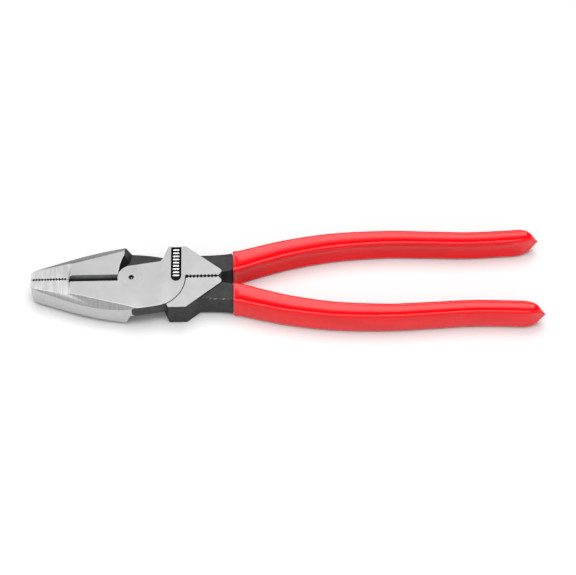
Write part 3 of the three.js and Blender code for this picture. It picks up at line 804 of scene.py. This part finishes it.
# %% Sweep tree
def sweep_tree():
    """Section and path in, finished grip out."""
    inputs = {
        "Section": ("NodeSocketObject", None),
        "Corner radius": ("NodeSocketFloat", EDGE_RADIUS * MM),
        "Trough depth": ("NodeSocketFloat", TROUGH_DEPTH * MM),
        "Hollow depth": ("NodeSocketFloat", HOLLOW_DEPTH * MM),
        "Material": ("NodeSocketMaterial", None),
    }
    tree, given = new_node_group("sweep_grip", inputs)
    path = add_node(tree, "GeometryNodeMeshToCurve", {0: given["Geometry"]})
    ring = add_node(tree, "GeometryNodeObjectInfo", {"Object": given["Section"]})
    ring = add_node(tree, "GeometryNodeMeshToCurve", {0: ring.outputs["Geometry"]})
    tube = add_node(tree, "GeometryNodeCurveToMesh",
                    {"Curve": path.outputs[0], "Profile Curve": ring.outputs[0], "Fill Caps": True})
    number = {name: read_number(tree, name) for name in (*PATH_NUMBERS, *RING_NUMBERS)}
    corner = math_node(tree, "MULTIPLY", number["corner_left"], given["Corner radius"])
    trough = math_node(tree, "MULTIPLY", number["trough_left"], given["Trough depth"])
    hollow = math_node(tree, "MULTIPLY", number["hollow_left"], given["Hollow depth"])
    reach = {}
    for way, size in (("across", "half_wide"), ("up", "half_high")):
        inner = math_node(tree, "SUBTRACT", number[size], corner)
        to_corner = math_node(tree, "MULTIPLY", number["corner_" + way], inner)
        off_corner = math_node(tree, "MULTIPLY", number["offset_" + way], corner)
        reach[way] = math_node(tree, "ADD", to_corner, off_corner)
    sunk = math_node(tree, "MULTIPLY", number["trough_share"], trough)
    pressed = math_node(tree, "MULTIPLY", number["hollow_share"], hollow)
    across = math_node(tree, "ADD", reach["across"], pressed)
    up = math_node(tree, "SUBTRACT", reach["up"], sunk)
    side = read_number(tree, "side", "FLOAT_VECTOR")
    centre = read_number(tree, "centre", "FLOAT_VECTOR")
    sideways = add_node(tree, "ShaderNodeVectorMath", {0: side, "Scale": across}, operation="SCALE")
    rise = add_node(tree, "ShaderNodeCombineXYZ", {"Z": up})
    place = vector_node(tree, "ADD", vector_node(tree, "ADD", centre, sideways.outputs[0]), rise.outputs[0])
    placed = add_node(tree, "GeometryNodeSetPosition", {"Geometry": tube.outputs[0], "Position": place})
    end_tree(tree, placed.outputs[0], given["Material"])
    return tree


GRIP_SWEEP = sweep_tree()
print("nodes in the sweep:", len(GRIP_SWEEP.nodes))


# %% Path and ring as meshes
def line_mesh(name, points, closed, floats, vectors=None):
    """A mesh of edges through the points, with named numbers on its points."""
    count = len(points)
    edges = [(k, k + 1) for k in range(count - 1)] + ([(count - 1, 0)] if closed else [])
    mesh = bpy.data.meshes.new(name)
    mesh.from_pydata(points, edges, [])
    for label, values in floats.items():
        mesh.attributes.new(label, "FLOAT", "POINT").data.foreach_set("value", values)
    for label, values in (vectors or {}).items():
        flat = [v for vector in values for v in vector]
        mesh.attributes.new(label, "FLOAT_VECTOR", "POINT").data.foreach_set("vector", flat)
    return in_scene(name, mesh)


def section_line():
    """The ring, with its numbers. It is drawn small and flat, and the tree places its points."""
    columns = list(zip(*SECTION))
    points = [(a + 0.2 * da, u + 0.2 * du, 0.0) for a, u, da, du, _, _ in SECTION]
    return line_mesh("grip_section", points, True, dict(zip(RING_NUMBERS, columns)))


def path_line(name, sign):
    """The path of one grip. side points away from the other handle, and the mouth is cut square to X."""
    centres, sides = [], []
    for x, *_ in STATIONS:
        offset, slope = centre_at(x)
        centres.append((x * MM, sign * offset * MM, MID * MM))
        length = math.hypot(1, slope)
        square = smooth(x, GRIP_START_X + 1, GRIP_START_X + 16)
        sides.append((-slope / length * square, sign * (length + (1 / length - length) * square), 0.0))
    sizes = [(w * MM, h * MM, c / EDGE_RADIUS, t, p) for _, w, h, c, t, p in STATIONS]
    numbers = dict(zip(PATH_NUMBERS, zip(*sizes)))
    spread = [(k * MM, 0.0, 0.0) for k in range(len(STATIONS))]
    return line_mesh(name, spread, False, numbers, {"centre": centres, "side": sides})


print("numbers on each point of the path:", (*PATH_NUMBERS, "centre", "side"))

# %% [markdown]
# ## Red dipped plastic
# The coating is soft PVC that the hot handle was dipped into: a deep, even red, smooth but not polished,
# with a faint unevenness from the dipping and fine scuffs. A painted image would need UVs on the swept
# skin, so noises on the piece's own coordinates do it: a very small bump gives the unevenness, another
# noise moves the roughness, and the colour changes only a little, deeper where the coating ran thick.

# %% Red plastic
red_vinyl, tree, shader, place = new_material("red_vinyl")
run = noise_node(tree, place, (0.035, 0.09, 0.09), detail=2.0)
peel = noise_node(tree, place, (0.7, 0.7, 0.7), detail=2.0)
scuff = noise_node(tree, place, (1.1, 3.5, 3.5), detail=4.0)
share = ramp_node(tree, run, 0.3, 0.7)
red = mix_colour(tree, share, (0.72, 0.0005, 0.004, 1.0), (0.82, 0.0015, 0.007, 1.0))
shader.inputs["Specular IOR Level"].default_value = 0.28
dress(tree, shader, red, ramp_node(tree, scuff, 0.35, 0.75, 0.17, 0.22), peel, 0.10, 0.010)
print("nodes in the red plastic:", len(tree.nodes))


# %% Make the grips
def plain_mesh(maker, name):
    """The evaluated object as a plain mesh object, with the maker removed and the normals outward."""
    bpy.context.view_layer.update()
    graph = bpy.context.evaluated_depsgraph_get()
    mesh = bpy.data.meshes.new_from_object(maker.evaluated_get(graph), depsgraph=graph)
    mesh.name = name
    for label in [a.name for a in mesh.attributes if a.name in NAMED_NUMBERS]:
        mesh.attributes.remove(mesh.attributes[label])
    bpy.data.objects.remove(maker)
    work = bmesh.new()
    work.from_mesh(mesh)
    bmesh.ops.remove_doubles(work, verts=work.verts, dist=0.0005 * MM)
    bmesh.ops.recalc_face_normals(work, faces=work.faces)
    open_edges = sum(not e.is_manifold for e in work.edges)
    volume = work.calc_volume() / MM**3
    work.to_mesh(mesh)
    work.free()
    made = in_scene(name, mesh)
    print(name, "faces", len(mesh.polygons), "open edges", open_edges, "volume, mm3", round(volume, 1))
    return made


def dipped_grip(name, sign):
    """One grip, swept along its path and turned into a plain mesh."""
    maker = path_line(name + "_path", sign)
    modifier = maker.modifiers.new("sweep", "NODES")
    modifier.node_group = GRIP_SWEEP
    depths = {"Trough depth": TROUGH_DEPTH * MM, "Hollow depth": HOLLOW_DEPTH * MM}
    set_inputs(modifier, {"Section": section_object, "Corner radius": EDGE_RADIUS * MM, **depths,
                          "Material": red_vinyl})
    made = plain_mesh(maker, name)
    made.data.shade_smooth()
    made.data.set_sharp_from_angle(angle=math.radians(50))
    return made


section_object = section_line()
upper_vinyl = dipped_grip("upper_grip_skin", 1)
lower_vinyl = dipped_grip("lower_grip_skin", -1)
bpy.data.objects.remove(section_object)

# %% [markdown]
# ## Pivot rivet
# The rivet is pressed flush on both faces and ground with them, so only a hair line round its head shows,
# and the punch mark that spread it. A cylinder with a hole cut by a Boolean would do, but the cut leaves
# long thin faces. So it is turned like a part on a lathe: a profile of radius and height is spun once
# round the pivot axis. The rim has a small chamfer, which is what makes the hair line.

# %% Rivet
RIVET_RADIUS, RIVET_CHAMFER = 4.98, 0.03
RIVET_SEGMENTS = 72
RIVET_PROFILE = [
    (0.0, 0.0), (RIVET_RADIUS - RIVET_CHAMFER, 0.0), (RIVET_RADIUS, RIVET_CHAMFER),
    (RIVET_RADIUS, THICKNESS - RIVET_CHAMFER), (RIVET_RADIUS - RIVET_CHAMFER, THICKNESS),
]
PUNCH_MARK = ((1.25, 0.0), (1.15, 0.06), (1.02, 0.45), (0.84, 0.80), (0.56, 0.78), (0.32, 0.62), (0.0, 0.55))
RIVET_PROFILE += [(radius, THICKNESS - depth) for radius, depth in PUNCH_MARK]


def spun(name, profile, segments):
    """A closed solid of revolution about the Z axis, in mm."""
    work = bmesh.new()
    rings = []
    for radius, height in profile:
        if radius == 0.0:
            rings.append([work.verts.new((0.0, 0.0, height * MM))] * segments)
            continue
        turns = [2 * math.pi * k / segments for k in range(segments)]
        rings.append([work.verts.new((radius * math.cos(a) * MM, radius * math.sin(a) * MM, height * MM))
                      for a in turns])
    for below, above in zip(rings, rings[1:]):
        for k in range(segments):
            corners = [below[k], below[(k + 1) % segments], above[(k + 1) % segments], above[k]]
            work.faces.new(list(dict.fromkeys(corners)))
    bmesh.ops.recalc_face_normals(work, faces=work.faces)
    return in_scene(name, mesh_from(work, name))


rivet = spun("pivot_rivet_head", RIVET_PROFILE, RIVET_SEGMENTS)
for material in (lapped_steel, gap_shade_and_panel_black):
    rivet.data.materials.append(material)
# The punch mark gets the near-black finish: painted shade in the dimple.
for face in rivet.data.polygons:
    reach = math.hypot(face.center.x, face.center.y) / MM
    in_punch = 0.35 < reach < 1.2 and face.center.z > (THICKNESS - 1) * MM
    face.material_index = 1 if in_punch else 0
rivet.data.shade_smooth()
rivet.data.set_sharp_from_angle(angle=math.radians(20))
print("rivet faces:", len(rivet.data.polygons))

# %% [markdown]
# ## Panel bars
# The wing of the upper half carries a dark recessed panel with raised bright marks. Here the marks are
# plain rounded bars across the panel, with no lettering. An Array modifier could repeat them too. They
# are placed by Geometry Nodes, which keep the count, the start and the step as named inputs: a line of
# points, one bar instanced on each, then made real.

# %% Bars
BAR_COUNT, BAR_PITCH = 9, 1.75
BAR_TOP_CHAMFER = 0.08
PANEL_X, FIRST_BAR_Y, BAR_SINK = 20.9, 0.6, 0.02


def bar_mesh(name, length, width, height, corner):
    """One bar with a rounded outline and a small top chamfer, standing on z = 0, in mm."""
    work = bmesh.new()
    outline = []
    for k, (sx, sy) in enumerate(((1, 1), (-1, 1), (-1, -1), (1, -1))):
        for step in range(5):
            angle = math.radians(90 * k + 90 * step / 4)
            outline.append((sx * (length / 2 - corner) + corner * math.cos(angle),
                            sy * (width / 2 - corner) + corner * math.sin(angle)))
    levels = ((0.0, 0.0), (height - BAR_TOP_CHAMFER, 0.0), (height, BAR_TOP_CHAMFER))
    rings = []
    for z, inset in levels:
        shrink_x, shrink_y = 1 - 2 * inset / length, 1 - 2 * inset / width
        rings.append([work.verts.new((x * shrink_x * MM, y * shrink_y * MM, z * MM)) for x, y in outline])
    count = len(outline)
    for below, above in zip(rings, rings[1:]):
        for k in range(count):
            work.faces.new([below[k], below[(k + 1) % count], above[(k + 1) % count], above[k]])
    work.faces.new(rings[-1])
    work.faces.new(list(reversed(rings[0])))
    return in_scene(name, mesh_from(work, name))


def bars_tree():
    """A line of points, with a bar on each."""
    inputs = {
        "Bar": ("NodeSocketObject", None),
        "Count": ("NodeSocketInt", BAR_COUNT),
        "Start": ("NodeSocketVector", None),
        "Step": ("NodeSocketVector", None),
        "Material": ("NodeSocketMaterial", None),
    }
    tree, given = new_node_group("place_bars", inputs)
    line = add_node(tree, "GeometryNodeMeshLine",
                    {"Count": given["Count"], "Start Location": given["Start"], "Offset": given["Step"]})
    bar = add_node(tree, "GeometryNodeObjectInfo", {"Object": given["Bar"], "As Instance": True})
    placed = add_node(tree, "GeometryNodeInstanceOnPoints",
                      {"Points": line.outputs[0], "Instance": bar.outputs["Geometry"]})
    end_tree(tree, placed.outputs[0], given["Material"])
    return tree


bar = bar_mesh("bar", length=3.1, width=0.85, height=0.47, corner=0.4)
maker = in_scene("bars_maker", bpy.data.meshes.new("bars_maker"))
modifier = maker.modifiers.new("bars", "NODES")
modifier.node_group = bars_tree()
bar_start = (PANEL_X * MM, FIRST_BAR_Y * MM, (THICKNESS - PANEL_DEPTH - BAR_SINK) * MM)
bar_step = (0.0, BAR_PITCH * MM, 0.0)
set_inputs(modifier, {"Bar": bar, "Count": BAR_COUNT, "Start": bar_start, "Step": bar_step,
                      "Material": edge_steel})
panel_bars = plain_mesh(maker, "panel_bars")
bpy.data.objects.remove(bar)

# %% [markdown]
# ## Pieces on the frame
# Each piece now rides on the body that holds the CAD piece it stands for.
# Parenting the pieces to each other would move them too, but the frame already knows how every body
# turns, so no piece needs a pivot, a constraint or a keyframe of its own.

# %% Ride and replace
for piece, body, node, finish in (
    (upper_steel, "upper_arm", "upper_half", "ground_steel"),
    (lower_steel, "lower_arm", "lower_half", "ground_steel"),
    (upper_vinyl, "upper_arm", "upper_grip", "red_grip"),
    (lower_vinyl, "lower_arm", "lower_grip", "red_grip"),
    (rivet, "lower_arm", "pivot_rivet", "rivet_steel"),
):
    piece.name = node + "_piece"
    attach(piece, body)
    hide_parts(node)
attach(panel_bars, "upper_arm")

# %% [markdown]
# ## Table and light
# A plain white table, one large soft light overhead and a little behind, a weak wide one in front, and a
# pale surround that is brightest in front. Small lamps would leave hard spots on the gloss. The large
# one is what draws the bright line along the grips' raised edges and makes their tops glow, while their
# sides stay a deep red.

# %% Table
TABLE_HALF, TABLE_Z = 4, -0.0002
table_mesh = bpy.data.meshes.new("table")
table_corners = [(x * TABLE_HALF, y * TABLE_HALF, TABLE_Z) for x, y in ((-1, -1), (1, -1), (1, 1), (-1, 1))]
table_mesh.from_pydata(table_corners, [], [(0, 1, 2, 3)])
table = in_scene("table", table_mesh)
table_white, _, shader, _ = new_material("table_white")
shader.inputs["Base Color"].default_value = grey(0.74)
shader.inputs["Roughness"].default_value = 0.9
shader.inputs["Specular IOR Level"].default_value = 0.1
table_mesh.materials.append(table_white)
print("table, m across:", 2 * TABLE_HALF)


# %% Light
def soft_light(name, place, target, width, height, watts):
    """A rectangular light at place that shines towards target, in metres and watts."""
    lamp = bpy.data.lights.new(name, "AREA")
    lamp.shape = "RECTANGLE"
    lamp.size, lamp.size_y = width, height
    lamp.energy = watts
    made = in_scene(name, lamp)
    made.location = place
    made.rotation_mode = "QUATERNION"
    made.rotation_quaternion = (Vector(target) - Vector(place)).to_track_quat("-Z", "Y")


soft_light("overhead", (0.07, 0.19, 1.15), (0.07, 0.17, 0.0), width=0.80, height=1.06, watts=15.8)
soft_light("front_fill", (0.07, -1.3, 0.55), (0.07, 0.0, 0.0), width=1.6, height=0.6, watts=3.0)

# %% Surround
world = bpy.data.worlds.new("surround")
bpy.context.scene.world = world
world.use_nodes = True
tree = world.node_tree
way = tree.nodes.new("ShaderNodeTexCoord").outputs["Generated"]
apart = add_node(tree, "ShaderNodeSeparateXYZ", {0: way})
from_front = ramp_node(tree, apart.outputs[1], -0.3, 0.4, 0.55, 0.07)
from_above = ramp_node(tree, apart.outputs[2], 0.4, 0.95, 0.0, 0.25)
surround = tree.nodes["Background"]
tree.links.new(math_node(tree, "ADD", from_front, from_above), surround.inputs["Strength"])
surround.inputs["Color"].default_value = grey(1.0)
bpy.context.scene.view_settings.view_transform = "Standard"
